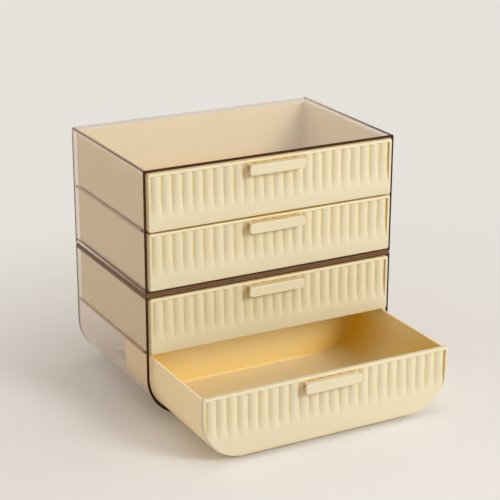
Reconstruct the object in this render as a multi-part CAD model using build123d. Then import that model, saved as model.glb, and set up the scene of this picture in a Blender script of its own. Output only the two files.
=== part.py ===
"""Cosmetic organizer: two stacked acrylic cases with four reeded drawers.

Millimetres. +Z is up, the drawers open towards -Y, and the origin is the middle of the face that
the organizer stands on. The bottom drawer is modelled pulled out, the other three are shut.
"""
from build123d import *
import os

# Cases: clear acrylic sleeves with a bonded back panel, open at the front
case_width = 240.0
case_depth = 152.0
case_wall = 2.5
case_outer_radius = 1.5
case_inner_radius = 2.0
case_bottom_radius = 40.0
back_thickness = 2.5

# Runner strips on the side walls, under the upper drawer of each case
runner_width = 9.0
runner_thickness = 2.0
runner_front_inset = 9.0

# Drawer fronts
shallow_front_height = 50.0
deep_front_height = 56.4
front_thickness = 4.0
front_proud = 2.7
front_corner_radius = 2.0
front_edge_radius = 1.2
front_side_clearance = 0.6
front_top_clearance = 0.5
front_gap = 1.2
front_bottom_clearance = 1.5

# Reeds: convex ribs that start below the top edge and fade out lower down
reed_count = 24
reed_side_margin = 3.1
reed_top_margin = 2.4
reed_full_length = 16.0
reed_fade_length = 21.0
reed_crest_depth = 0.15
reed_valley_depth = 2.0
reed_end_flank = 0.6
reed_run_out = 0.1
cutter_overshoot = 1.0
fade_steps = 4

# Drawer trays
tray_wall = 2.0
tray_floor = 2.0
tray_bottom_radius = 2.5
tray_floor_radius = 2.4
tray_rear_radius = 2.0
tray_inner_radius = 1.5
tray_rim_drop = 1.2
tray_side_clearance = 1.5
tray_back_clearance = 0.5
slide_clearance = 0.3
rim_clearance = 0.5

# Bar pulls: a shelf with a turned-down lip
handle_length = 53.4
handle_drop = 3.2
handle_projection = 6.6
lip_height = 9.0
lip_thickness = 2.0
lip_corner_radius = 2.6
lip_edge_radius = 0.7
shelf_length = 50.6
shelf_thickness = 2.2

# Screws from inside the tray, through the front, into bosses under the shelf
screw_spacing = 30.0
screw_shank_diameter = 2.4
screw_head_diameter = 4.6
screw_head_height = 1.8
screw_bite = 3.6
screw_edge_radius = 0.6
boss_diameter = 5.0
boss_hole_clearance = 0.1
boss_end_clearance = 0.5
wall_hole_clearance = 0.4

# How far the bottom drawer stands open
bottom_drawer_open = 97.0

# Places along the depth, with the drawers shut
case_front = -case_depth / 2
case_rear = case_depth / 2
back_front = case_rear - back_thickness
front_face = case_front - front_proud
front_back = front_face + front_thickness
tray_rear = back_front - tray_back_clearance

# Half widths
case_inside = case_width / 2 - case_wall
front_half = case_inside - front_side_clearance
tray_half = case_inside - tray_side_clearance

# Heights, from the table up
lower_floor = case_wall
bottom_front_low = lower_floor + front_bottom_clearance
bottom_front_high = bottom_front_low + deep_front_height
third_front_low = bottom_front_high + front_gap
third_front_high = third_front_low + shallow_front_height
lower_case_top = third_front_high + front_top_clearance + case_wall
upper_floor = lower_case_top + case_wall
second_front_low = upper_floor + front_bottom_clearance
second_front_high = second_front_low + shallow_front_height
top_front_low = second_front_high + front_gap
top_front_high = top_front_low + shallow_front_height
upper_case_top = top_front_high + front_top_clearance + case_wall

lower_runner_low = bottom_front_high - tray_rim_drop + rim_clearance
lower_runner_high = lower_runner_low + runner_thickness
upper_runner_low = second_front_high - tray_rim_drop + rim_clearance
upper_runner_high = upper_runner_low + runner_thickness

# Handle and screw places, measured from the crest of the front and from its top edge
shelf_half = shelf_length / 2
lip_half = handle_length / 2
boss_drop = handle_drop + boss_diameter / 2
screw_places = (-screw_spacing / 2, screw_spacing / 2)


def along_depth(profile, y_front, y_rear):
    """Extrude an x, z profile from y_front back to y_rear."""
    plane = Plane(origin=(0, y_rear, 0), x_dir=(1, 0, 0), z_dir=(0, -1, 0))
    return extrude(plane * profile, amount=y_rear - y_front)


def block(x_low, x_high, y_low, y_high, z_low, z_high):
    """Box between two corners."""
    centre = ((x_low + x_high) / 2, (y_low + y_high) / 2, (z_low + z_high) / 2)
    return Pos(*centre) * Box(x_high - x_low, y_high - y_low, z_high - z_low)


def rod(x, z, diameter, y_front, y_rear):
    """Round bar that runs front to back."""
    return along_depth(Pos(x, z) * Circle(diameter / 2), y_front, y_rear)


def rounded_panel(half_width, z_low, z_high, low_radius, high_radius):
    """Rectangle in x and z with its own radius for the lower and the upper corners."""
    middle = (z_low + z_high) / 2
    profile = Pos(0, middle) * Rectangle(2 * half_width, z_high - z_low)
    profile = fillet(profile.vertices().group_by(Axis.Y)[0], low_radius)
    return fillet(profile.vertices().group_by(Axis.Y)[-1], high_radius)


def case_inner_profile(z_low, z_high, low_radius):
    """Inside of a case, seen from the front."""
    return rounded_panel(case_inside, z_low + case_wall, z_high - case_wall, low_radius, case_inner_radius)


def make_case(z_low, z_high, outer_low_radius, inner_low_radius):
    """Sleeve of a case, open at the front and the rear."""
    outside = rounded_panel(case_width / 2, z_low, z_high, outer_low_radius, case_outer_radius)
    inside = case_inner_profile(z_low, z_high, inner_low_radius)
    return along_depth(outside - inside, case_front, case_rear)


def make_back_panel(z_low, z_high, inner_low_radius):
    """Panel that closes the rear of a sleeve, flush with its rear edge."""
    return along_depth(case_inner_profile(z_low, z_high, inner_low_radius), back_front, case_rear)


def make_runner(side, z_low, z_high):
    """Strip bonded to one side wall. side is -1 for the left wall, 1 for the right."""
    wall_face = side * case_inside
    free_edge = side * (case_inside - runner_width)
    x_low, x_high = sorted((wall_face, free_edge))
    return block(x_low, x_high, case_front + runner_front_inset, back_front, z_low, z_high)


def reed_section(z, valley, crest):
    """Plan of the space in front of the reeds at one height, from outside the front to the reeds."""
    reed_half = front_half - reed_side_margin
    pitch = 2 * reed_half / reed_count
    outside = -cutter_overshoot
    valleys = [-reed_half + pitch * i for i in range(reed_count + 1)]
    corner_left = (-reed_half - reed_end_flank, outside)
    corner_right = (reed_half + reed_end_flank, outside)
    edges = [Line(corner_left, (valleys[0], valley))]
    for left, right in zip(valleys, valleys[1:]):
        edges.append(ThreePointArc((left, valley), ((left + right) / 2, crest), (right, valley)))
    edges.append(Line((valleys[-1], valley), corner_right))
    edges.append(Line(corner_right, corner_left))
    return Plane.XY.offset(z) * make_face(edges)


def reed_cutters(z_high):
    """Solids that leave the reeds: an even stretch below z_high, then a stretch that fades out."""
    full_high = z_high - reed_top_margin
    full_low = full_high - reed_full_length
    even = extrude(reed_section(full_low, reed_valley_depth, reed_crest_depth), amount=reed_full_length)
    sections = []
    for step in range(fade_steps + 1):
        along = step / fade_steps
        fade = along * along
        valley = reed_valley_depth + fade * (-reed_run_out - reed_valley_depth)
        crest = reed_crest_depth + fade * (-2 * reed_run_out - reed_crest_depth)
        sections.append(reed_section(full_low - along * reed_fade_length, valley, crest))
    return [even, loft(sections, ruled=True)]


def make_front(z_low, z_high, low_radius):
    """Reeded drawer front. Its outermost face is at y = 0."""
    profile = rounded_panel(front_half, z_low, z_high, low_radius, front_corner_radius)
    panel = along_depth(profile, 0, front_thickness)
    panel = fillet(panel.faces().sort_by(Axis.Y)[0].edges(), front_edge_radius)
    for cutter in reed_cutters(z_high):
        panel -= cutter
    seat_high = z_high - handle_drop
    panel += block(-shelf_half, shelf_half, 0, front_thickness, seat_high - boss_diameter, seat_high)
    hole = screw_shank_diameter + wall_hole_clearance
    for x in screw_places:
        panel -= rod(x, z_high - boss_drop, hole, -cutter_overshoot, front_thickness + cutter_overshoot)
    return panel


def make_tray(z_low, z_rim, z_front_high, bottom_radius):
    """Open tray behind a front whose outermost face is at y = 0."""
    y_front = front_thickness
    y_rear = y_front + tray_rear - front_back
    height = z_rim - z_low
    outside = Pos(0, z_low + height / 2) * Rectangle(2 * tray_half, height)
    outside = fillet(outside.vertices().group_by(Axis.Y)[0], bottom_radius)
    tray = along_depth(outside, y_front, y_rear)
    rear_edges = tray.faces().sort_by(Axis.Y)[-1].edges()
    tray = fillet(rear_edges.sort_by(Axis.Z)[:-1], tray_rear_radius)
    inside_high = z_rim + cutter_overshoot
    inside_low = z_low + tray_floor
    inside = Pos(0, (inside_low + inside_high) / 2) * Rectangle(
        2 * (tray_half - tray_wall), inside_high - inside_low
    )
    floor_radius = max(bottom_radius - tray_wall, tray_floor_radius)
    inside = fillet(inside.vertices().group_by(Axis.Y)[0], floor_radius)
    hollow = along_depth(inside, y_front + tray_wall, y_rear - tray_wall)
    for end in (0, -1):
        end_edges = hollow.faces().sort_by(Axis.Y)[end].edges()
        hollow = fillet(end_edges.sort_by(Axis.Z)[:-1], tray_inner_radius)
    tray -= hollow
    hole = screw_shank_diameter + wall_hole_clearance
    for x in screw_places:
        tray -= rod(x, z_front_high - boss_drop, hole, y_front - cutter_overshoot, y_front + 2 * tray_wall)
    return tray


def make_handle(z_front_high):
    """Bar pull seated on a front whose outermost face is at y = 0."""
    z_high = z_front_high - handle_drop
    lip_profile = rounded_panel(lip_half, z_high - lip_height, z_high, lip_corner_radius, lip_corner_radius)
    lip = along_depth(lip_profile, -handle_projection, -handle_projection + lip_thickness)
    lip = fillet(lip.faces().sort_by(Axis.Y)[0].edges(), lip_edge_radius)
    lip_back = -handle_projection + lip_thickness
    handle = lip + block(-shelf_half, shelf_half, lip_back, 0, z_high - shelf_thickness, z_high)
    hole = screw_shank_diameter + boss_hole_clearance
    for x in screw_places:
        handle += rod(x, z_front_high - boss_drop, boss_diameter, lip_back, 0)
    for x in screw_places:
        handle -= rod(x, z_front_high - boss_drop, hole, -screw_bite - boss_end_clearance, cutter_overshoot)
    return handle


def make_screw(x, z):
    """Round-head screw from the inside of the tray into a boss of the pull."""
    head_seat = front_thickness + tray_wall
    head = rod(x, z, screw_head_diameter, head_seat, head_seat + screw_head_height)
    head = fillet(head.faces().sort_by(Axis.Y)[-1].edges(), screw_edge_radius)
    return head + rod(x, z, screw_shank_diameter, -screw_bite, head_seat)


def make_drawer(z_low, z_high, tray_low, front_low_radius, tray_low_radius, opened):
    """Tray, front, pull and screws of one drawer, in place."""
    screws = [make_screw(x, z_high - boss_drop) for x in screw_places]
    pieces = {
        "tray": make_tray(tray_low, z_high - tray_rim_drop, z_high, tray_low_radius),
        "front": make_front(z_low, z_high, front_low_radius),
        "handle": make_handle(z_high),
        "screws": Compound(children=screws),
    }
    place = Pos(0, front_face - opened, 0)
    return {name: place * piece for name, piece in pieces.items()}


def make_parts():
    """Every piece of the organizer by name."""
    case_low_inner = case_bottom_radius - case_wall
    parts = {
        "lower_case": make_case(0, lower_case_top, case_bottom_radius, case_low_inner),
        "lower_back_panel": make_back_panel(0, lower_case_top, case_low_inner),
        "upper_case": make_case(lower_case_top, upper_case_top, case_outer_radius, case_inner_radius),
        "upper_back_panel": make_back_panel(lower_case_top, upper_case_top, case_inner_radius),
    }
    for side, name in ((-1, "left"), (1, "right")):
        parts[f"lower_{name}_runner"] = make_runner(side, lower_runner_low, lower_runner_high)
        parts[f"upper_{name}_runner"] = make_runner(side, upper_runner_low, upper_runner_high)
    on_lower_runner = lower_runner_high + slide_clearance
    on_upper_runner = upper_runner_high + slide_clearance
    deep_front_radius = case_low_inner - front_side_clearance
    deep_tray_radius = case_low_inner - tray_side_clearance
    shallow = (front_corner_radius, tray_bottom_radius, 0)
    drawers = {
        "top": make_drawer(top_front_low, top_front_high, on_upper_runner, *shallow),
        "second": make_drawer(second_front_low, second_front_high, upper_floor + slide_clearance, *shallow),
        "third": make_drawer(third_front_low, third_front_high, on_lower_runner, *shallow),
        "bottom": make_drawer(
            bottom_front_low, bottom_front_high, lower_floor + slide_clearance,
            deep_front_radius, deep_tray_radius, bottom_drawer_open,
        ),
    }
    for drawer, pieces in drawers.items():
        for name, piece in pieces.items():
            parts[f"{drawer}_drawer_{name}"] = piece
    return parts


os.makedirs("parts", exist_ok=True)
for node, part in make_parts().items():
    export_step(part, f"parts/{node}.step")
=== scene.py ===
"""Looks of a stacked acrylic organizer with four reeded drawers, built around its solid model."""
import math

import bmesh
import bpy
from bpy.props import FloatProperty, FloatVectorProperty, IntProperty, PointerProperty
from mathutils import Matrix, Vector


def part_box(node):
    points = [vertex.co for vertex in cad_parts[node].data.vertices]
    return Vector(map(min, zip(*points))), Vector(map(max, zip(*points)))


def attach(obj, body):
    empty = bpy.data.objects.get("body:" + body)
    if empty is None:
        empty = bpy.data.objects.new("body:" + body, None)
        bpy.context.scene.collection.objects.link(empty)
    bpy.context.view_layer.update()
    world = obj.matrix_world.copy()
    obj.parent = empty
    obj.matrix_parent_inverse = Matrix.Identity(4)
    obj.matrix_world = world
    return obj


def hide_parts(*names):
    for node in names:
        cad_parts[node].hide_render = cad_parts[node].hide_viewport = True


bl_info = {
    "name": "Reeded Drawer Organizer",
    "version": (1, 0, 0),
    "blender": (4, 5, 0),
    "location": "View3D > Sidebar > Organizer",
    "description": "Builds the looks of a stacked acrylic organizer with reeded drawers",
    "category": "Add Mesh",
}

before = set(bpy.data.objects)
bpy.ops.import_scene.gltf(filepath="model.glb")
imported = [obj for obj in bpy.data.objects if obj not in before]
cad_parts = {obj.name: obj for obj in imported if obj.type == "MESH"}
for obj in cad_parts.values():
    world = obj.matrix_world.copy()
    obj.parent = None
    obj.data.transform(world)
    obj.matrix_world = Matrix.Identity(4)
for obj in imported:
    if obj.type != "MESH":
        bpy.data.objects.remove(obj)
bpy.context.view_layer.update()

MM = 0.001
DRAWERS = ("top", "second", "third", "bottom")
CASES = ("upper", "lower")
SMOOTH_ANGLE = math.radians(34)
FRONTWARD = -0.6
FRONT_ON = -0.99
REARWARD = 0.05
CORNER_TILT = (0.05, 0.995)
UNDER_TOP_TILT = (-0.85, -0.7)
EDGE_STEPS = 3
RIM_STEPS = 4
FACE_EDGE_STEPS = 5
CORNER_STEPS = 6
TRAY_CORNER_STEPS = 5
SHALLOW_STEPS = 12
DEEP_STEPS = 32
LIP_STEPS = 8
ROUND_STEPS = 28
REED_LINES = 10
LEDGE_ROWS = 3
FADE_ROWS = 14
SCREW_TIP = (0.4 * MM, 0.6 * MM)
SCREW_DOME = ((1.0, 0.0), (1.0, 0.6 * MM), (0.93, 1.2 * MM), (0.8, 1.55 * MM))
HEAD_FLAT, CROSS_ARM, CROSS_SLOT = 0.66, 0.55, 0.14
RECESS_DEPTH = 0.9 * MM
RECESS_TAPER = 0.8
NEARLY_ROUND = 0.9996
FACE_DEPTH = 0.01 * MM
FLOOR_DROP = 0.05 * MM
SENSOR_WIDTH = 36.0
LIGHT_BOUNCES = 40


def linear(hex_colour):
    """Linear RGBA of an sRGB hex colour."""
    channels = [int(hex_colour[place:place + 2], 16) / 255 for place in (1, 3, 5)]
    return tuple(c / 12.92 if c <= 0.04045 else ((c + 0.055) / 1.055) ** 2.4 for c in channels) + (1.0,)


def length(name, description, millimetres):
    """Length property with its default in millimetres."""
    return FloatProperty(
        name=name, description=description, default=millimetres * MM, precision=5, unit="LENGTH"
    )


def factor(name, description, default):
    """Property between 0 and 1."""
    return FloatProperty(
        name=name, description=description, default=default, min=0.0, max=1.0, subtype="FACTOR"
    )


def power(name, description, watts):
    """Lamp power property in watts."""
    return FloatProperty(name=name, description=description, default=watts, unit="POWER")


def angle(name, description, degrees):
    """Angle property with its default in degrees."""
    return FloatProperty(
        name=name, description=description, default=math.radians(degrees), subtype="ANGLE", unit="ROTATION"
    )


def colour(name, description, hex_colour):
    """Colour property with its default as an sRGB hex value."""
    return FloatVectorProperty(
        name=name, description=description, default=linear(hex_colour), size=4, min=0.0, max=1.0,
        subtype="COLOR",
    )


class OrganizerCaseSettings(bpy.types.PropertyGroup):
    """Sizes of the acrylic sheets."""

    top_radius: length("Corner radius", "Outer radius of the square corners", 1.5)
    inner_radius: length("Inner corner radius", "Inner radius of the square corners", 2.0)
    bottom_radius: length("Bottom radius", "Outer radius of the lower case's bottom corners", 40.0)
    edge_radius: length("Edge radius", "Rounding along the polished sheet edges", 0.3)
    glue_gap: length("Joint line", "Thin line left between two bonded sheets", 0.05)
    seam_gap: length("Seam", "Air left between the stacked cases, half on each", 0.12)
    # Strip painted in the middle edge shade, standing for the light seen along the sheets.
    seam_light: length("Seam light", "Paler strip along the seam on each case's front edge", 1.5)
    runner_nose: length("Runner nose", "Rounding of a runner's free front corner in plan", 3.0)
    # Strip painted in the pale edge shade along a runner's bonded side, standing for the light seen there.
    runner_bead: length("Runner bead", "Width of the bonded strip along a runner", 1.6)


class OrganizerDrawerSettings(bpy.types.PropertyGroup):
    """Sizes of the moulded drawers and their pulls."""

    shallow_radius: length("Shallow tray radius", "Outer bottom radius of the shallow trays", 1.2)
    deep_radius: length("Deep tray radius", "Outer bottom radius of the deep tray", 36.0)
    wall: length("Tray wall", "Thickness of the tray walls and floor", 2.0)
    floor_radius: length("Tray floor radius", "Least inner rounding along a tray's floor", 2.4)
    rear_radius: length("Tray rear radius", "Outer rounding of a tray's rear edges", 2.0)
    inner_radius: length("Tray inner radius", "Inner rounding at a tray's ends", 1.5)
    rim_radius: length("Rim radius", "Rounding of a tray's rim", 0.6)
    front_radius: length("Front corner radius", "Corner radius of a shallow front", 2.0)
    deep_front_radius: length("Deep front radius", "Bottom corner radius of the deep front", 36.9)
    front_edge: length("Front edge radius", "Rounding round the face of a front", 1.2)
    seated_edge: length("Seated edge radius", "Rounding where a tray and its front meet", 0.3)
    reed_count: IntProperty(name="Reeds", description="Reeds across a front", default=24, min=2)
    reed_margin: length("Reed side margin", "Plain strip beside the outer reeds", 3.1)
    reed_top: length("Reed top margin", "Plain strip above the reeds", 2.4)
    reed_ledge: length("Reed ledge", "Height of the ledge at a reed's upper end", 0.6)
    reed_full: length("Reed full length", "Stretch of a reed at its full depth", 16.0)
    reed_fade: length("Reed fade", "Stretch in which a reed fades out", 21.0)
    reed_crest: length("Reed crest depth", "Crest of a reed behind the face", 0.15)
    reed_valley: length("Reed valley depth", "Valley between reeds behind the face", 2.0)
    reed_flank: length("Reed end flank", "Width of the flank beside the outer reeds", 0.6)
    lip_height: length("Lip height", "Height of a pull's lip", 9.0)
    lip_thickness: length("Lip thickness", "Thickness of a pull's lip", 2.0)
    lip_radius: length("Lip end radius", "Rounding of a lip's ends", 2.6)
    lip_edge: length("Lip edge radius", "Rounding round a lip's face", 0.8)
    lip_rear_edge: length("Lip rear radius", "Rounding round a lip's rear", 0.4)
    lip_lap: length("Lip lap", "How far the shelf and the bosses run into the lip", 1.0)
    pull_bite: length("Pull bite", "How far a pull reaches in past the reeds' valleys", 0.4)
    shelf_length: length("Shelf length", "Length of the shelf behind the lip", 50.6)
    shelf_thickness: length("Shelf thickness", "Thickness of the shelf", 2.2)
    shelf_drop: length("Shelf drop", "Step from the lip's top down to the shelf", 0.02)
    shelf_radius: length("Shelf radius", "Rounding of the shelf's long edges", 0.4)
    shelf_edge: length("Shelf end radius", "Rounding round the shelf's front and rear", 0.2)
    boss_diameter: length("Boss diameter", "Diameter of the bosses under the shelf", 5.0)
    boss_drop: length("Boss drop", "Step from the lip's top down to a boss", 0.1)
    boss_edge: length("Boss edge radius", "Rounding round a boss's ends", 0.1)
    screw_spacing: length("Screw spacing", "Distance between a pull's two screws", 30.0)
    screw_shank: length("Screw shank", "Diameter of a screw's shank", 2.4)
    screw_head: length("Screw head", "Diameter of a screw's head", 4.6)
    screw_head_height: length("Screw head height", "Height of a screw's head", 1.8)


class OrganizerLookSettings(bpy.types.PropertyGroup):
    """Colours and finishes."""

    acrylic_absorbs: colour("Acrylic dye", "Colour that the acrylic's dye lets through", "#D2B08A")
    acrylic_density: FloatProperty(
        name="Dye strength", description="Absorption of the dyed acrylic per metre", default=14.0, min=0.0
    )
    acrylic_tint: colour("Acrylic tint", "Light that a sheet lets through face on", "#F8F2EC")
    acrylic_shadow: colour("Acrylic shadow", "Light that each face of a sheet lets through", "#F9F7F4")
    acrylic_roughness: factor("Acrylic roughness", "Roughness of the polished sheets", 0.03)
    # The edge colours are paint on opaque edge faces: the dye's own brown, darker or paler as painted shade
    # and light for what is seen through a sheet's depth.
    acrylic_edge: colour("Acrylic edge", "Colour of the sheets seen into their edges", "#3E220F")
    acrylic_middle_painted_edge: colour("Acrylic middle edge paint", "Colour of the sheets seen through the seam", "#7E5C3C")
    acrylic_pale_painted_edge: colour("Acrylic pale edge paint", "Colour of the rear edges and the runner beads", "#B99A78")
    plastic: colour("Plastic", "Colour of the moulded fronts and pulls", "#DCD3B4")
    # The shallow and deep tray plastics are a darker and a paler, warmer copy of one tray plastic: painted
    # shade for the trays inside the cases and painted light for the open deep tray.
    shallow_plastic_shaded: colour("Shallow tray plastic, painted shade", "Colour of the three shallow trays", "#E0D4B2")
    deep_plastic_lit: colour("Deep tray plastic, painted light", "Colour of the deep tray at the bottom", "#F5E5BC")
    # The tints and end-wall strength below paint warm shade into the plastic where close walls hide it.
    painted_shade_tint: colour("Plastic painted shade", "Tint that the plastic takes on in corners and gaps", "#FFE092")
    deep_painted_shade_tint: colour("Deep tray painted shade", "Tint that the walls take on inside the deep tray", "#FCDD50")
    end_wall_painted_shade: FloatProperty(
        name="End wall painted shade", description="Glow of the deep tray's end walls against its long walls", default=2.2,
        min=0.0,
    )
    plastic_roughness: factor("Plastic roughness", "Roughness of the satin mould texture", 0.42)
    # How far the painted shade reaches from close walls.
    painted_shade_reach: length("Painted shade reach", "How close walls are that warm a front, a pull or a shallow tray", 9.0)
    deep_painted_shade_reach: length("Deep painted shade reach", "How close walls are that warm the deep tray", 60.0)
    steel: colour("Steel", "Colour of the plated screws", "#C8CACC")
    paper: colour("Paper", "Colour of the floor", "#EBECED")
    wall: colour("Wall", "Colour of the room seen past the floor and in reflections", "#E5E2DB")


class OrganizerStageSettings(bpy.types.PropertyGroup):
    """Camera and light."""

    azimuth: angle("Azimuth", "Turn of the camera round the organizer, from the front", -28.185)
    elevation: angle("Elevation", "Height of the camera above the horizon", 19.639)
    roll: angle("Roll", "Turn of the camera about its own axis", 0.182)
    distance: length("Distance", "From the camera to the point it looks at", 1374.0)
    target: FloatVectorProperty(
        name="Target", description="Point that the camera looks at", default=(0.0, -0.0350, 0.1227),
        subtype="TRANSLATION", unit="LENGTH",
    )
    lens: FloatProperty(
        name="Lens", description="Focal length on a 36 mm sensor", default=112.27, unit="CAMERA"
    )
    floor_size: length("Floor size", "Side of the paper floor", 14000.0)
    fade_centre: FloatVectorProperty(
        name="Fade centre", description="Point on the floor that the wall's light fades towards",
        default=(0.03, -0.12, 0.0), subtype="TRANSLATION", unit="LENGTH",
    )
    fade_near: length("Fade near", "Distance within which the floor shows least of the wall's light", 100.0)
    fade_far: length("Fade far", "Distance past which the floor is the wall's light alone", 630.0)
    fade_least: factor("Fade least", "Share of the wall's light in the floor beside the organizer", 0.05)
    key_power: power("Key power", "Power of the softbox on the right", 22.0)
    top_power: power("Top power", "Power of the softbox overhead", 7.5)
    side_power: power("Side power", "Power of the softbox far right", 6.0)
    rear_power: power("Rear power", "Power of the softbox behind on the left", 7.5)
    warmth: colour("Warmth", "Colour of the light that fills the shadows", "#F8E8D3")
    rear_warmth: colour("Rear warmth", "Colour of the softbox behind on the left", "#FFE0C6")
    sky: factor("Room light", "Strength of the even light from all round", 0.45)


def add_node(tree, kind, inputs=(), **settings):
    """Add a node with its settings; an input is a value, a socket, or a node whose first output feeds it."""
    node = tree.nodes.new(kind)
    for name, value in settings.items():
        setattr(node, name, value)
    for key, value in dict(inputs).items():
        if isinstance(value, bpy.types.Node):
            value = value.outputs[0]
        if isinstance(value, bpy.types.NodeSocket):
            tree.links.new(value, node.inputs[key])
        else:
            node.inputs[key].default_value = value
    return node


def maths(tree, operation, *values, **settings):
    """Math node on one or two values."""
    return add_node(tree, "ShaderNodeMath", dict(enumerate(values)), operation=operation, **settings)


def remap(tree, value, start, end, **settings):
    """Node that maps one span of values to another."""
    spans = {"Value": value, "From Min": start[0], "From Max": start[1], "To Min": end[0], "To Max": end[1]}
    return add_node(tree, "ShaderNodeMapRange", spans, **settings)


def patches(tree, place, size, detail):
    """Noise with patches of about the given size."""
    return add_node(tree, "ShaderNodeTexNoise", {"Vector": place, "Scale": 1 / size, "Detail": detail})


def mixed_colour(tree, share, first, second):
    """Colour output of a node that mixes two colours."""
    return add_node(tree, "ShaderNodeMix", {0: share, 6: first, 7: second}, data_type="RGBA").outputs[2]


def new_material(name):
    """Empty node material and its tree."""
    material = bpy.data.materials.new(name)
    material.use_nodes = True
    material.node_tree.nodes.clear()
    return material, material.node_tree


def toned(shade_of, share):
    """Shade made darker or paler by a share."""
    return tuple(min(1.0, share * c) for c in shade_of[:3]) + (1.0,)


def looking_rays(tree):
    """Last node of a chain that gives 1 for rays which look at a surface and 0 for rays which light one."""
    rays = add_node(tree, "ShaderNodeLightPath")
    seen = rays.outputs["Is Camera Ray"]
    for kind in ("Is Glossy Ray", "Is Transmission Ray"):
        seen = maths(tree, "MAXIMUM", seen, rays.outputs[kind])
    return seen


def cast_acrylic(look):
    """Tinted acrylic sheet."""
    name = "tinted cast acrylic, flame polished"
    if name in bpy.data.materials:
        return bpy.data.materials[name]
    # Cast sheet with tea-brown dye through it: almost clear face on, dark along an edge, with the faint
    # waviness of casting and a few hazy patches from wiping. The index is below the usual 1.49, so that the
    # sheets mirror the room no more than they do under very soft light.
    material, tree = new_material(name)
    place = add_node(tree, "ShaderNodeTexCoord").outputs["Object"]
    wave = patches(tree, place, 55 * MM, 1.0)
    waviness = add_node(tree, "ShaderNodeBump", {"Height": wave, "Strength": 0.04, "Distance": 0.4 * MM})
    haze = patches(tree, place, 28 * MM, 3.0)
    polish = remap(tree, haze, (0.4, 0.75), (0.0, look.acrylic_roughness))
    sheet = add_node(
        tree, "ShaderNodeBsdfPrincipled",
        {"Base Color": look.acrylic_tint, "Roughness": polish, "IOR": 1.28, "Transmission Weight": 1.0,
         "Normal": waviness},
    )
    clear = add_node(tree, "ShaderNodeBsdfTransparent", {"Color": look.acrylic_shadow})
    rays = add_node(tree, "ShaderNodeLightPath")
    surface = add_node(tree, "ShaderNodeMixShader", {0: rays.outputs["Is Shadow Ray"], 1: sheet, 2: clear})
    dye = add_node(
        tree, "ShaderNodeVolumeAbsorption", {"Color": look.acrylic_absorbs, "Density": look.acrylic_density}
    )
    add_node(tree, "ShaderNodeOutputMaterial", {"Surface": surface, "Volume": dye})
    return material


def acrylic_edge(name, shade_of):
    """Opaque paint on the edges of the tinted sheets, in one of its three shades of painted light and shade.
    """
    if name in bpy.data.materials:
        return bpy.data.materials[name]
    # Looking into an edge, the eye would see through the whole depth of the dyed sheet, so its faces are
    # painted opaque: tea brown under the gloss of buffing, a little uneven along its length, and in three
    # shades of painted light and shade, paler where more light would get in.
    material, tree = new_material(name)
    place = add_node(tree, "ShaderNodeTexCoord").outputs["Object"]
    cloud = patches(tree, place, 18 * MM, 2.0)
    tone = mixed_colour(tree, cloud, toned(shade_of, 0.8), toned(shade_of, 1.2))
    gloss = remap(tree, cloud, (0.3, 0.7), (0.1, 0.2))
    edge = add_node(tree, "ShaderNodeBsdfPrincipled", {"Base Color": tone, "Roughness": gloss, "IOR": 1.3})
    add_node(tree, "ShaderNodeOutputMaterial", {"Surface": edge})
    return material


def dress_edges(thing, look, at_middle_paint, at_pale_paint):
    """Paint faces that look to the front in the dark edge shade, and chosen strips and corners in the middle
    and pale shades.
    """
    shades = (look.acrylic_edge, look.acrylic_middle_painted_edge, look.acrylic_pale_painted_edge)
    for finish, shade_of in zip(("buffed edge", "middle painted edge", "pale painted edge"), shades):
        thing.data.materials.append(acrylic_edge(f"tinted cast acrylic, {finish}", shade_of))
    buffed, painted_middle_slot, painted_pale_slot = 1, 2, 3
    for polygon in thing.data.polygons:
        if at_middle_paint(polygon):
            polygon.material_index = painted_middle_slot
        elif polygon.normal.y < FRONTWARD:
            polygon.material_index = buffed
        elif at_pale_paint(polygon):
            polygon.material_index = painted_pale_slot


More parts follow.
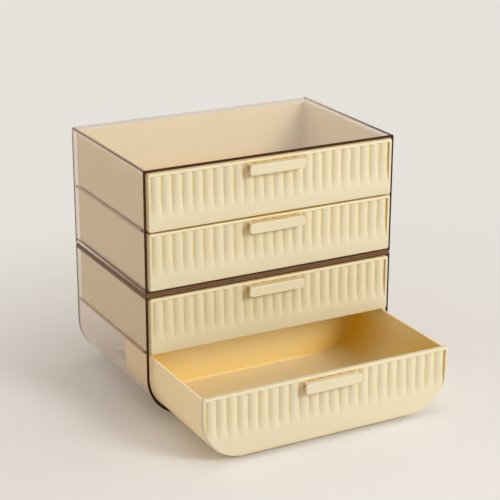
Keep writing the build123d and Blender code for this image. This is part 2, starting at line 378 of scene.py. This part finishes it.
def moulded_plastic(look, name, shade_of, painted_shade_tint_of, reach, end_wall_painted_shade=1.0, floor_painted_shade=1.0, alone=False):
    """Cream satin drawer plastic in one of its shades, with painted shade; alone, only its own walls shade
    it.
    """
    if name in bpy.data.materials:
        return bpy.data.materials[name]
    # Injection-moulded ABS from a finely spark-eroded mould: soft satin gloss, a pebble of about 0.5 mm,
    # and a slow drift of shade across a panel. The warm light that soaks through the slightly translucent
    # plastic and bounces between close walls is painted into its colour as shade: the tint deepens in corners
    # and gaps. In an open tray this painted shade is strongest on the end walls and left off the floor, which
    # the light reaches directly.
    material, tree = new_material(name)
    spot = add_node(tree, "ShaderNodeTexCoord")
    place = spot.outputs["Object"]
    drift = patches(tree, place, 70 * MM, 2.0)
    tone = mixed_colour(tree, drift, toned(shade_of, 0.97), toned(shade_of, 1.03))
    # Painted shade: ambient occlusion finds close walls and mixes a deeper, warmer tint into the colour,
    # weighed up on end walls and down on an open tray's floor by which way a face looks.
    nearby = add_node(tree, "ShaderNodeAmbientOcclusion", {"Distance": reach}, samples=8, only_local=alone)
    painted_shade_mask = remap(tree, nearby.outputs["AO"], (0.2, 0.95), (1.0, 0.0))
    facing = add_node(tree, "ShaderNodeSeparateXYZ", {0: spot.outputs["Normal"]})
    upright = remap(tree, facing.outputs["Z"], (0.75, 0.99), (1.0, floor_painted_shade))
    endwise = maths(tree, "ABSOLUTE", facing.outputs["X"])
    end_wall = remap(tree, endwise, (0.3, 0.9), (1.0, end_wall_painted_shade))
    on_walls = maths(tree, "MULTIPLY", upright, end_wall)
    warmth = maths(tree, "MULTIPLY", painted_shade_mask, on_walls, use_clamp=True)
    painted_shade_colour = tuple(c * tint for c, tint in zip(shade_of, painted_shade_tint_of))
    warmed = mixed_colour(tree, warmth, tone, painted_shade_colour)
    pebble = patches(tree, place, 0.5 * MM, 2.0)
    texture = add_node(tree, "ShaderNodeBump", {"Height": pebble, "Strength": 0.12, "Distance": 0.05 * MM})
    spread = 0.05
    roughness = (look.plastic_roughness - spread, look.plastic_roughness + spread)
    gloss = remap(tree, pebble, (0.3, 0.7), roughness)
    plastic = add_node(
        tree, "ShaderNodeBsdfPrincipled",
        {"Base Color": warmed, "Roughness": gloss, "IOR": 1.53, "Normal": texture},
    )
    add_node(tree, "ShaderNodeOutputMaterial", {"Surface": plastic})
    return material


def front_plastic(look):
    """Plastic that the fronts and the pulls share."""
    return moulded_plastic(
        look, "cream ABS, injection moulded satin", look.plastic, look.painted_shade_tint, look.painted_shade_reach
    )


def plated_steel(look):
    """Zinc-plated steel of the screws."""
    # Barrel-plated zinc: bright, a little cloudy, with fine tumbling marks.
    material, tree = new_material("zinc-plated steel, barrel plated")
    place = add_node(tree, "ShaderNodeTexCoord").outputs["Object"]
    cloud = patches(tree, place, 1.5 * MM, 3.0)
    gloss = remap(tree, cloud, (0.3, 0.7), (0.22, 0.38))
    steel = add_node(
        tree, "ShaderNodeBsdfPrincipled", {"Base Color": look.steel, "Metallic": 1.0, "Roughness": gloss}
    )
    add_node(tree, "ShaderNodeOutputMaterial", {"Surface": steel})
    return material


def seamless_paper(look, stage):
    """Paper of the floor."""
    # Matt photographer's paper with a faint fibre. Far from the organizer it runs up into the evenly lit
    # wall, which is drawn as light for the rays that look at it.
    material, tree = new_material("seamless paper, matt")
    place = add_node(tree, "ShaderNodeTexCoord").outputs["Object"]
    fibre = patches(tree, place, 2 * MM, 2.0)
    tooth = add_node(tree, "ShaderNodeBump", {"Height": fibre, "Strength": 0.05, "Distance": 0.1 * MM})
    paper = add_node(
        tree, "ShaderNodeBsdfPrincipled",
        {"Base Color": look.paper, "Roughness": 0.9, "Specular IOR Level": 0.2, "Normal": tooth},
    )
    wall = add_node(tree, "ShaderNodeEmission", {"Color": look.wall, "Strength": 1.0})
    away = add_node(tree, "ShaderNodeVectorMath", {0: place, 1: stage.fade_centre}, operation="DISTANCE")
    rise = remap(
        tree, away.outputs["Value"], (stage.fade_near, stage.fade_far), (stage.fade_least, 1.0),
        interpolation_type="SMOOTHSTEP",
    )
    share = maths(tree, "MULTIPLY", rise, looking_rays(tree))
    surface = add_node(tree, "ShaderNodeMixShader", {0: share, 1: paper, 2: wall})
    add_node(tree, "ShaderNodeOutputMaterial", {"Surface": surface})
    return material


def rounded_outline(low, high, radii, steps):
    """Closed outline of a rectangle with rounded corners, anticlockwise from the lower right corner."""
    corners = ((high[0], low[1], -1, 1), (high[0], high[1], -1, -1), (low[0], high[1], 1, -1),
               (low[0], low[1], 1, 1))
    points = []
    for corner, (x, y, inward_x, inward_y) in enumerate(corners):
        radius = max(radii[corner], 1e-5)
        for step in range(steps[corner] + 1):
            turn = math.radians(90 * (corner - 1 + step / steps[corner]))
            points.append((x + inward_x * radius + radius * math.cos(turn),
                           y + inward_y * radius + radius * math.sin(turn)))
    return points


def loft(shape, loops, closed=False):
    """Skin a run of equal loops; an open run is capped at both ends. Gives the two caps."""
    rings = [[shape.verts.new(point) for point in loop] for loop in loops]
    pairs = list(zip(rings, rings[1:]))
    if closed:
        pairs.append((rings[-1], rings[0]))
    for ring, other in pairs:
        for i in range(len(ring)):
            j = (i + 1) % len(ring)
            shape.faces.new((ring[i], ring[j], other[j], other[i]))
    if closed:
        return []
    return [shape.faces.new(rings[0]), shape.faces.new(rings[-1])]


def quarter(radius, steps):
    """Pairs of how far a rounded edge is drawn in and set back, from the end face to the side."""
    turns = [math.pi / 2 * step / steps for step in range(steps + 1)]
    return [(radius * (1 - math.sin(turn)), radius * (1 - math.cos(turn))) for turn in turns]


def upright_panel(shape, low, high, radii, front_edge, rear_edge, steps):
    """Panel across the depth with its own corner radii and rounded front and rear edges. Gives its caps."""
    front = [(inset, low[1] + back) for inset, back in quarter(front_edge, FACE_EDGE_STEPS)]
    rear = [(inset, high[1] - back) for inset, back in reversed(quarter(rear_edge, EDGE_STEPS))]
    loops = []
    for inset, y in front + rear:
        outline = rounded_outline(
            (low[0] + inset, low[2] + inset), (high[0] - inset, high[2] - inset),
            [radius - inset for radius in radii], steps,
        )
        loops.append([(x, y, z) for x, z in outline])
    return loft(shape, loops)


def corner_steps(round_bottom):
    """Steps round the corners of an outline, more on large round bottom corners."""
    bottom = ROUND_STEPS if round_bottom else CORNER_STEPS
    return (bottom, CORNER_STEPS, CORNER_STEPS, bottom)


def new_object(name, shape, material):
    """Object at the origin with a finished mesh."""
    bmesh.ops.recalc_face_normals(shape, faces=shape.faces)
    mesh = bpy.data.meshes.new(name)
    shape.to_mesh(mesh)
    shape.free()
    mesh.materials.append(material)
    thing = bpy.data.objects.new(name, mesh)
    bpy.context.scene.collection.objects.link(thing)
    return thing


def settle(thing):
    """Give the object the plain mesh that its modifiers make, and remove them."""
    graph = bpy.context.evaluated_depsgraph_get()
    made = bpy.data.meshes.new_from_object(thing.evaluated_get(graph), depsgraph=graph)
    spent = thing.data
    thing.modifiers.clear()
    thing.data = made
    bpy.data.meshes.remove(spent)
    made.name = thing.name


def shade(thing):
    """Smooth shading with sharp real edges and flat large faces."""
    for polygon in thing.data.polygons:
        polygon.use_smooth = True
    thing.data.set_sharp_from_angle(angle=SMOOTH_ANGLE)
    weighted = thing.modifiers.new("Even shading", "WEIGHTED_NORMAL")
    weighted.keep_sharp = True
    settle(thing)


def keep_piece(thing, body, node):
    """Shade a piece, ride it on its body and let it stand for its solid."""
    shade(thing)
    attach(thing, body)
    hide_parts(node)


def nodes_tree(name, sockets):
    """Geometry Nodes tree with one geometry in and out, and named inputs for its sizes."""
    tree = bpy.data.node_groups.new(name, "GeometryNodeTree")
    tree.interface.new_socket("Geometry", in_out="OUTPUT", socket_type="NodeSocketGeometry")
    tree.interface.new_socket("Geometry", in_out="INPUT", socket_type="NodeSocketGeometry")
    for label, kind in sockets.items():
        tree.interface.new_socket(label, in_out="INPUT", socket_type=kind)
    return tree


def close_tree(tree, made, sizes):
    """End a tree with plain geometry in its material."""
    plain = add_node(tree, "GeometryNodeRealizeInstances", {0: made})
    dressed = add_node(tree, "GeometryNodeSetMaterial", {"Geometry": plain, "Material": sizes["Material"]})
    add_node(tree, "NodeGroupOutput", {0: dressed})
    return tree


def run_tree(thing, tree, values):
    """Run a tree on an object with its named inputs set, and keep the plain mesh."""
    modifier = thing.modifiers.new(tree.name, "NODES")
    modifier.node_group = tree
    for socket in tree.interface.items_tree:
        if socket.in_out == "INPUT" and socket.name in values:
            modifier[socket.identifier] = values[socket.name]
    settle(thing)


def reed_tree():
    """Tree that presses the reeds into the face of a front."""
    real = "NodeSocketFloat"
    tree = nodes_tree("Reeds", {
        "Reed count": real, "Half width": real, "End flank": real, "Crest depth": real,
        "Valley depth": real, "Face": real, "Start height": real, "Ledge height": real,
        "Fade height": real, "End height": real, "Material": "NodeSocketMaterial",
    })
    sizes = add_node(tree, "NodeGroupInput").outputs
    place = add_node(tree, "ShaderNodeSeparateXYZ", {0: add_node(tree, "GeometryNodeInputPosition")})
    half, whole = sizes["Half width"], (0.0, 1.0)
    left = maths(tree, "MULTIPLY", half, -1.0)
    reeds = remap(tree, place.outputs["X"], (left, half), (0.0, sizes["Reed count"]), clamp=False)
    across = maths(tree, "FRACT", reeds)
    centred = remap(tree, across, whole, (-1.0, 1.0), clamp=False)
    round_off = maths(tree, "MULTIPLY", centred, centred)
    depth = remap(tree, round_off, whole, (sizes["Crest depth"], sizes["Valley depth"]))
    aside = maths(tree, "ABSOLUTE", place.outputs["X"])
    outside = maths(tree, "ADD", half, sizes["End flank"])
    flank = remap(tree, aside, (half, outside), (1.0, 0.0))
    ledge = remap(tree, place.outputs["Z"], (sizes["Start height"], sizes["Ledge height"]), whole)
    along = remap(tree, place.outputs["Z"], (sizes["Fade height"], sizes["End height"]), whole)
    spent = maths(tree, "MULTIPLY", along, along)
    fade = maths(tree, "SUBTRACT", 1.0, spent)
    pressed = depth
    for part in (flank, ledge, fade):
        pressed = maths(tree, "MULTIPLY", pressed, part)
    limit = maths(tree, "ADD", sizes["Face"], FACE_DEPTH)
    on_face = add_node(tree, "FunctionNodeCompare", {0: place.outputs["Y"], 1: limit}, operation="LESS_THAN")
    inward = add_node(tree, "ShaderNodeCombineXYZ", {"Y": pressed})
    moved = add_node(
        tree, "GeometryNodeSetPosition",
        {"Geometry": sizes["Geometry"], "Selection": on_face, "Offset": inward},
    )
    return close_tree(tree, moved, sizes)


def screw_tree():
    """Tree that sets a row of screws."""
    tree = nodes_tree("Screw row", {
        "Screw count": "NodeSocketInt", "First screw": "NodeSocketVector", "Spacing": "NodeSocketFloat",
        "Material": "NodeSocketMaterial",
    })
    sizes = add_node(tree, "NodeGroupInput").outputs
    stride = add_node(tree, "ShaderNodeCombineXYZ", {"X": sizes["Spacing"]})
    row = add_node(
        tree, "GeometryNodeMeshLine",
        {"Count": sizes["Screw count"], "Start Location": sizes["First screw"], "Offset": stride},
        mode="OFFSET",
    )
    screws = add_node(tree, "GeometryNodeInstanceOnPoints", {"Points": row, "Instance": sizes["Geometry"]})
    return close_tree(tree, screws, sizes)


class ORGANIZER_OT_cases(bpy.types.Operator):
    """Build the two acrylic sleeves."""

    bl_idname = "organizer.cases"
    bl_label = "Acrylic cases"

    def execute(self, context):
        sizes = context.scene.organizer_cases
        acrylic = cast_acrylic(context.scene.organizer_look)
        for case in CASES:
            node = f"{case}_case"
            low, high = (Vector(corner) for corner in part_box(node))
            wall = high.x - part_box(f"{case}_back_panel")[1].x
            if case == "upper":
                low.z += sizes.seam_gap / 2
                low_radius, low_inner = sizes.top_radius, sizes.inner_radius
            else:
                high.z -= sizes.seam_gap / 2
                low_radius, low_inner = sizes.bottom_radius, sizes.bottom_radius - wall
            rounding = quarter(sizes.edge_radius, EDGE_STEPS)
            front = [(inset, low.y + back) for inset, back in rounding]
            rear = [(inset, high.y - back) for inset, back in rounding]
            section = front + rear[::-1]
            section += [(wall - inset, y) for inset, y in rear + front[::-1]]
            section.append((sizes.seam_light, low.y))
            loops = []
            for inset, y in section:
                share = inset / wall
                bottom = low_radius + share * (low_inner - low_radius)
                top = sizes.top_radius + share * (sizes.inner_radius - sizes.top_radius)
                outline = rounded_outline(
                    (low.x + inset, low.z + inset), (high.x - inset, high.z - inset),
                    (bottom, top, top, bottom), corner_steps(case == "lower"),
                )
                loops.append([(x, y, z) for x, z in outline])
            shape = bmesh.new()
            loft(shape, loops, closed=True)
            sleeve = new_object(f"{case}_sleeve", shape, acrylic)
            seam = low.z if case == "upper" else high.z
            corner = wall + sizes.inner_radius

            # Painted light and shade: the strip by the seam and a few bent corner faces by the seam and under
            # the top take the middle edge shade, and the rear edges of the side walls take the pale one.
            def at_middle_paint(polygon):
                """Whether a face lies in the pale strip by the seam or in a bent corner painted in the middle
                edge shade.
                """
                normal, centre = polygon.normal, polygon.center
                from_seam = abs(centre.z - seam)
                if normal.y < FRONT_ON:
                    return from_seam < sizes.seam_light
                bent = CORNER_TILT[0] < abs(normal.z) < CORNER_TILT[1] and abs(centre.x) > high.x - corner
                tilted = UNDER_TOP_TILT[0] < normal.z < UNDER_TOP_TILT[1]
                under_top = tilted and abs(centre.z - high.z) < corner
                return normal.y >= FRONTWARD and bent and (from_seam < corner or under_top)

            def at_pale_paint(polygon):
                """Whether a face lies on the rear edge of a side wall."""
                from_middle = abs(polygon.center.x)
                return polygon.normal.y > REARWARD and from_middle > high.x - max(corner, low_radius)

            dress_edges(sleeve, context.scene.organizer_look, at_middle_paint, at_pale_paint)
            keep_piece(sleeve, "case", node)
        return {"FINISHED"}


class ORGANIZER_OT_back_panels(bpy.types.Operator):
    """Build the sheets that close the rear of the sleeves."""

    bl_idname = "organizer.back_panels"
    bl_label = "Back panels"

    def execute(self, context):
        sizes = context.scene.organizer_cases
        acrylic = cast_acrylic(context.scene.organizer_look)
        inset = Vector((sizes.glue_gap, 0.0, sizes.glue_gap))
        for case in CASES:
            node = f"{case}_back_panel"
            low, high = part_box(node)
            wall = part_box(f"{case}_case")[1].x - high.x
            bottom = sizes.inner_radius if case == "upper" else sizes.bottom_radius - wall
            shape = bmesh.new()
            upright_panel(
                shape, low + inset, high - inset, (bottom, sizes.inner_radius, sizes.inner_radius, bottom),
                sizes.edge_radius, sizes.edge_radius, corner_steps(case == "lower"),
            )
            keep_piece(new_object(f"{case}_back_sheet", shape, acrylic), "case", node)
        return {"FINISHED"}


class ORGANIZER_OT_runners(bpy.types.Operator):
    """Build the strips that the upper drawer of each case runs on."""

    bl_idname = "organizer.runners"
    bl_label = "Runners"

    def execute(self, context):
        sizes = context.scene.organizer_cases
        acrylic = cast_acrylic(context.scene.organizer_look)
        edge = sizes.edge_radius
        for case in CASES:
            for side in ("left", "right"):
                node = f"{case}_{side}_runner"
                low, high = (Vector(corner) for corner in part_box(node))
                low.x += sizes.glue_gap
                high.x -= sizes.glue_gap
                high.y -= sizes.glue_gap
                nose = sizes.runner_nose
                radii = (edge, edge, edge, nose) if side == "right" else (nose, edge, edge, edge)
                rounding = quarter(edge, EDGE_STEPS)
                levels = [(inset, low.z + back) for inset, back in rounding]
                levels += [(inset, high.z - back) for inset, back in reversed(rounding)]
                loops = []
                for inset, z in levels:
                    outline = rounded_outline(
                        (low.x + inset, low.y + inset), (high.x - inset, high.y - inset),
                        [radius - inset for radius in radii], corner_steps(False),
                    )
                    loops.append([(x, y, z) for x, y in outline])
                shape = bmesh.new()
                loft(shape, loops)
                outward = 1 if side == "right" else -1
                # The bonded side of the runner is painted in the pale edge shade, standing for the light seen
                # along it.
                bead = max(abs(low.x), abs(high.x)) - sizes.runner_bead
                bmesh.ops.bisect_plane(
                    shape, geom=[*shape.verts, *shape.edges, *shape.faces],
                    plane_co=(outward * bead, 0.0, 0.0), plane_no=(1.0, 0.0, 0.0),
                )
                rail = new_object(f"{case}_{side}_rail", shape, acrylic)
                dress_edges(
                    rail, context.scene.organizer_look, lambda polygon: False,
                    lambda polygon: outward * polygon.center.x > bead,
                )
                keep_piece(rail, "case", node)
        return {"FINISHED"}


def tray_levels(half, y_front, y_rear, low, radius, end_radius, front_end_radius, steps):
    """Levels of a tray's skin up its curved bottom: half width, front, rear and height."""
    levels = []
    for step in range(steps + 1):
        turn = math.pi / 2 * step / steps
        rise = radius * (1 - math.cos(turn))
        ends = []
        for end in (front_end_radius, end_radius):
            short = max(0.0, end - rise)
            ends.append(end - math.sqrt(max(0.0, end * end - short * short)))
        width = half - radius + radius * math.sin(turn)
        levels.append((width, y_front + ends[0], y_rear - ends[1], low + rise))
    return levels


class ORGANIZER_OT_trays(bpy.types.Operator):
    """Build the open trays of the drawers."""

    bl_idname = "organizer.trays"
    bl_label = "Trays"

    def execute(self, context):
        sizes = context.scene.organizer_drawers
        look = context.scene.organizer_look
        # The shallow trays inside the cases take the darker copy of the tray plastic, painted shade, and the
        # open deep tray the paler, warmer one, painted light.
        shallow = moulded_plastic(
            look, "pale cream ABS, injection moulded satin", look.shallow_plastic_shaded, look.painted_shade_tint,
            look.painted_shade_reach, alone=True,
        )
        deep = moulded_plastic(
            look, "cream ABS paled for painted light, injection moulded satin", look.deep_plastic_lit, look.deep_painted_shade_tint,
            look.deep_painted_shade_reach, look.end_wall_painted_shade, floor_painted_shade=0.0, alone=True,
        )
        for drawer in DRAWERS:
            node = f"{drawer}_drawer_tray"
            low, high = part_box(node)
            wall, rim, edge = sizes.wall, sizes.rim_radius, sizes.seated_edge
            if drawer == "bottom":
                radius, steps, plastic = sizes.deep_radius, DEEP_STEPS, deep
            else:
                radius, steps, plastic = sizes.shallow_radius, SHALLOW_STEPS, shallow
            outside = tray_levels(high.x, low.y, high.y, low.z, radius, sizes.rear_radius, edge, steps)
            inside = tray_levels(
                high.x - wall, low.y + wall, high.y - wall, low.z + wall,
                max(radius - wall, sizes.floor_radius), sizes.inner_radius, sizes.inner_radius, steps,
            )
            levels = [(level, sizes.rear_radius, edge) for level in outside]
            for inset, back in reversed(quarter(rim, RIM_STEPS)):
                level = (high.x - inset, low.y + inset, high.y - inset, high.z - back)
                levels.append((level, sizes.rear_radius - inset, edge))
            for inset, back in quarter(rim, RIM_STEPS):
                level = (high.x - wall + inset, low.y + wall - inset, high.y - wall + inset, high.z - back)
                levels.append((level, sizes.inner_radius + inset, sizes.inner_radius + inset))
            levels += [(level, sizes.inner_radius, sizes.inner_radius) for level in reversed(inside)]
            loops = []
            for (half, front, rear, z), rear_corner, front_corner in levels:
                outline = rounded_outline(
                    (-half, front), (half, rear), (front_corner, rear_corner, rear_corner, front_corner),
                    [TRAY_CORNER_STEPS] * 4,
                )
                loops.append([(x, y, z) for x, y in outline])
            shape = bmesh.new()
            loft(shape, loops)
            keep_piece(
                new_object(f"{drawer}_drawer_box", shape, plastic), f"{drawer}_drawer", node
            )
        return {"FINISHED"}


class ORGANIZER_OT_fronts(bpy.types.Operator):
    """Build the reeded drawer fronts."""

    bl_idname = "organizer.fronts"
    bl_label = "Reeded fronts"

    def execute(self, context):
        sizes = context.scene.organizer_drawers
        plastic = front_plastic(context.scene.organizer_look)
        reeding = reed_tree()
        for drawer in DRAWERS:
            node = f"{drawer}_drawer_front"
            low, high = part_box(node)
            deep = drawer == "bottom"
            bottom = sizes.deep_front_radius if deep else sizes.front_radius
            shape = bmesh.new()
            face = upright_panel(
                shape, low, high, (bottom, sizes.front_radius, sizes.front_radius, bottom),
                sizes.front_edge, sizes.seated_edge, corner_steps(deep),
            )[0]
            half = high.x - sizes.reed_margin
            start = high.z - sizes.reed_top
            fade = start - sizes.reed_full
            end = fade - sizes.reed_fade
            lines = sizes.reed_count * REED_LINES
            columns = [-half + 2 * half * i / lines for i in range(lines + 1)]
            columns += [-half - sizes.reed_flank, half + sizes.reed_flank]
            rows = [start - sizes.reed_ledge * i / LEDGE_ROWS for i in range(LEDGE_ROWS + 1)]
            rows += [fade + (end - fade) * i / FADE_ROWS for i in range(FADE_ROWS + 1)]
            parts = [face, *face.edges, *face.verts]
            for axis, places in ((0, columns), (2, rows)):
                normal = Vector((axis == 0, 0.0, axis == 2))
                for place in places:
                    parts = bmesh.ops.bisect_plane(
                        shape, geom=parts, dist=1e-7, plane_co=normal * place, plane_no=normal
                    )["geom"]
            front = new_object(f"{drawer}_drawer_reeded_front", shape, plastic)
            run_tree(front, reeding, {
                "Reed count": float(sizes.reed_count), "Half width": half, "End flank": sizes.reed_flank,
                "Crest depth": sizes.reed_crest, "Valley depth": sizes.reed_valley, "Face": low.y,
                "Start height": start, "Ledge height": start - sizes.reed_ledge, "Fade height": fade,
                "End height": end, "Material": plastic,
            })
            keep_piece(front, f"{drawer}_drawer", node)
        return {"FINISHED"}


class ORGANIZER_OT_pulls(bpy.types.Operator):
    """Build the bar pulls."""

    bl_idname = "organizer.pulls"
    bl_label = "Bar pulls"

    def execute(self, context):
        sizes = context.scene.organizer_drawers
        plastic = front_plastic(context.scene.organizer_look)
        for drawer in DRAWERS:
            node = f"{drawer}_drawer_handle"
            low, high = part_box(node)
            seat = high.y + sizes.reed_valley + sizes.pull_bite
            lip_back = low.y + sizes.lip_thickness
            start = lip_back - sizes.lip_lap
            lip_low = Vector((low.x, low.y, high.z - sizes.lip_height))
            shape = bmesh.new()
            upright_panel(
                shape, lip_low, Vector((high.x, lip_back, high.z)), [sizes.lip_radius] * 4, sizes.lip_edge,
                sizes.lip_rear_edge, [LIP_STEPS] * 4,
            )
            pull = new_object(f"{drawer}_drawer_pull", shape, plastic)
            half = sizes.shelf_length / 2
            shape = bmesh.new()
            upright_panel(
                shape, Vector((-half, start, high.z - sizes.shelf_thickness)),
                Vector((half, seat, high.z - sizes.shelf_drop)), [sizes.shelf_radius] * 4, sizes.shelf_edge,
                sizes.shelf_edge, [EDGE_STEPS] * 4,
            )
            added = [new_object("shelf", shape, plastic)]
            boss = sizes.boss_diameter / 2
            for side in (-1, 1):
                x = side * sizes.screw_spacing / 2
                z = high.z - boss - sizes.boss_drop
                shape = bmesh.new()
                upright_panel(
                    shape, Vector((x - boss, start, z - boss)), Vector((x + boss, seat, z + boss)),
                    [NEARLY_ROUND * boss] * 4, sizes.boss_edge, sizes.boss_edge, corner_steps(False),
                )
                added.append(new_object("boss", shape, plastic))
            for part in added:
                joined = pull.modifiers.new(part.name, "BOOLEAN")
                joined.operation = "UNION"
                joined.solver = "EXACT"
                joined.object = part
            settle(pull)
            for part in added:
                bpy.data.meshes.remove(part.data)
            keep_piece(pull, f"{drawer}_drawer", node)
        return {"FINISHED"}


class ORGANIZER_OT_screws(bpy.types.Operator):
    """Build the screws that hold the pulls."""

    bl_idname = "organizer.screws"
    bl_label = "Pull screws"

    def execute(self, context):
        sizes = context.scene.organizer_drawers
        steel = plated_steel(context.scene.organizer_look)
        screw_row = screw_tree()
        for drawer in DRAWERS:
            node = f"{drawer}_drawer_screws"
            low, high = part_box(node)
            shank, head = sizes.screw_shank / 2, sizes.screw_head / 2
            top = high.y - low.y
            seat = top - sizes.screw_head_height
            arm, slot = CROSS_ARM * head, CROSS_SLOT * head
            arms = ((arm, 0.0), (arm, slot), ((arm + slot) / 2, slot), (slot, slot), (slot, (arm + slot) / 2),
                    (slot, arm))
            cross = list(arms)
            for _ in range(3):
                cross += [(-z, x) for x, z in cross[-6:]]
            rings = [(shank - SCREW_TIP[0], 0.0), (shank, SCREW_TIP[1]), (shank, seat)]
            rings += [(share * head, seat + rise) for share, rise in SCREW_DOME]
            rings.append((HEAD_FLAT * head, top))
            loops = []
            turns = [2 * math.pi * i / len(cross) for i in range(len(cross))]
            for radius, y in rings:
                loops.append([(radius * math.cos(turn), y, radius * math.sin(turn)) for turn in turns])
            loops.append([(x, top, z) for x, z in cross])
            loops.append([(RECESS_TAPER * x, top - RECESS_DEPTH, RECESS_TAPER * z) for x, z in cross])
            shape = bmesh.new()
            loft(shape, loops)
            screws = new_object(f"{drawer}_drawer_pull_screws", shape, steel)
            first = Vector((-sizes.screw_spacing / 2, low.y, (low.z + high.z) / 2))
            run_tree(screws, screw_row, {
                "Screw count": 2, "First screw": first, "Spacing": sizes.screw_spacing, "Material": steel,
            })
            keep_piece(screws, f"{drawer}_drawer", node)
        return {"FINISHED"}


class ORGANIZER_OT_stage(bpy.types.Operator):
    """Lay the floor and set the light and the camera."""

    bl_idname = "organizer.stage"
    bl_label = "Stage"

    def execute(self, context):
        scene = context.scene
        stage = scene.organizer_stage
        look = scene.organizer_look
        half = stage.floor_size / 2
        shape = bmesh.new()
        corners = ((-half, -half), (half, -half), (half, half), (-half, half))
        shape.faces.new([shape.verts.new((x, y, -FLOOR_DROP)) for x, y in corners])
        floor = new_object("paper_floor", shape, seamless_paper(look, stage))

        world = bpy.data.worlds.new("Soft room")
        scene.world = world
        world.use_nodes = True
        world.node_tree.nodes.clear()
        tree = world.node_tree
        room = add_node(tree, "ShaderNodeBackground", {"Color": stage.warmth, "Strength": stage.sky})
        wall = add_node(tree, "ShaderNodeBackground", {"Color": look.wall, "Strength": 1.0})
        mixed = add_node(tree, "ShaderNodeMixShader", {0: looking_rays(tree), 1: room, 2: wall})
        add_node(tree, "ShaderNodeOutputWorld", {"Surface": mixed})

        white = (1.0, 1.0, 1.0)
        # Each lamp's name, power, colour, side, place and the point that it is aimed at.
        lamps = (
            ("Key softbox", stage.key_power, white, 0.7, (0.76, -1.66, 1.06), (0.0, -0.08, 0.10)),
            ("Top softbox", stage.top_power, white, 1.4, (0.1, -0.25, 2.2), (0.0, -0.15, 0.0)),
            ("Side softbox", stage.side_power, white, 1.2, (1.6, -0.95, 0.55), (0.0, -0.1, 0.12)),
            ("Rear softbox", stage.rear_power, stage.rear_warmth, 1.2, (-1.5, 0.9, 0.6), (0.0, 0.0, 0.12)),
        )
        for name, power, tint, side, place, aim in lamps:
            lamp = bpy.data.lights.new(name, "AREA")
            lamp.energy = power
            lamp.color = tint[:3]
            lamp.size = side
            thing = bpy.data.objects.new(name, lamp)
            thing.visible_transmission = False
            away = Vector(place) - Vector(aim)
            turn = away.to_track_quat("Z", "Y").to_matrix().to_4x4()
            thing.matrix_world = Matrix.Translation(place) @ turn
            scene.collection.objects.link(thing)

        camera = bpy.data.cameras.new("Camera")
        camera.lens = stage.lens
        camera.sensor_width = SENSOR_WIDTH
        viewer = bpy.data.objects.new("Camera", camera)
        turn = Matrix.Rotation(stage.azimuth, 4, "Z") @ Matrix.Rotation(math.pi / 2 - stage.elevation, 4, "X")
        back = Matrix.Translation((0.0, 0.0, stage.distance))
        roll = Matrix.Rotation(stage.roll, 4, "Z")
        viewer.matrix_world = Matrix.Translation(stage.target) @ turn @ back @ roll
        scene.collection.objects.link(viewer)
        scene.camera = viewer
        scene.view_settings.view_transform = "Standard"
        # A ray that crosses both cases meets many sheet faces.
        scene.cycles.max_bounces = LIGHT_BOUNCES
        scene.cycles.glossy_bounces = LIGHT_BOUNCES
        scene.cycles.transmission_bounces = LIGHT_BOUNCES
        return {"FINISHED"}


class ORGANIZER_PT_build(bpy.types.Panel):
    """Settings and steps of the organizer."""

    bl_label = "Organizer"
    bl_idname = "ORGANIZER_PT_build"
    bl_space_type = "VIEW_3D"
    bl_region_type = "UI"
    bl_category = "Organizer"

    def draw(self, context):
        for holder in SETTINGS:
            box = self.layout.box()
            group = getattr(context.scene, holder)
            for name in group.bl_rna.properties.keys():
                if name not in ("rna_type", "name"):
                    box.prop(group, name)
        for step in STEPS:
            self.layout.operator(step.bl_idname)


SETTINGS = {
    "organizer_cases": OrganizerCaseSettings,
    "organizer_drawers": OrganizerDrawerSettings,
    "organizer_look": OrganizerLookSettings,
    "organizer_stage": OrganizerStageSettings,
}
STEPS = (
    ORGANIZER_OT_cases, ORGANIZER_OT_back_panels, ORGANIZER_OT_runners, ORGANIZER_OT_trays,
    ORGANIZER_OT_fronts, ORGANIZER_OT_pulls, ORGANIZER_OT_screws, ORGANIZER_OT_stage,
)


def register():
    """Register the settings, the steps and the panel."""
    for holder, group in SETTINGS.items():
        bpy.utils.register_class(group)
        setattr(bpy.types.Scene, holder, PointerProperty(type=group))
    for step in STEPS:
        bpy.utils.register_class(step)
    bpy.utils.register_class(ORGANIZER_PT_build)


def unregister():
    """Take back what register added."""
    bpy.utils.unregister_class(ORGANIZER_PT_build)
    for step in reversed(STEPS):
        bpy.utils.unregister_class(step)
    for holder, group in reversed(SETTINGS.items()):
        delattr(bpy.types.Scene, holder)
        bpy.utils.unregister_class(group)


def main():
    """Build every piece and the stage."""
    register()
    for step in STEPS:
        area, action = step.bl_idname.split(".")
        getattr(getattr(bpy.ops, area), action)()


if __name__ == "__main__":
    main()
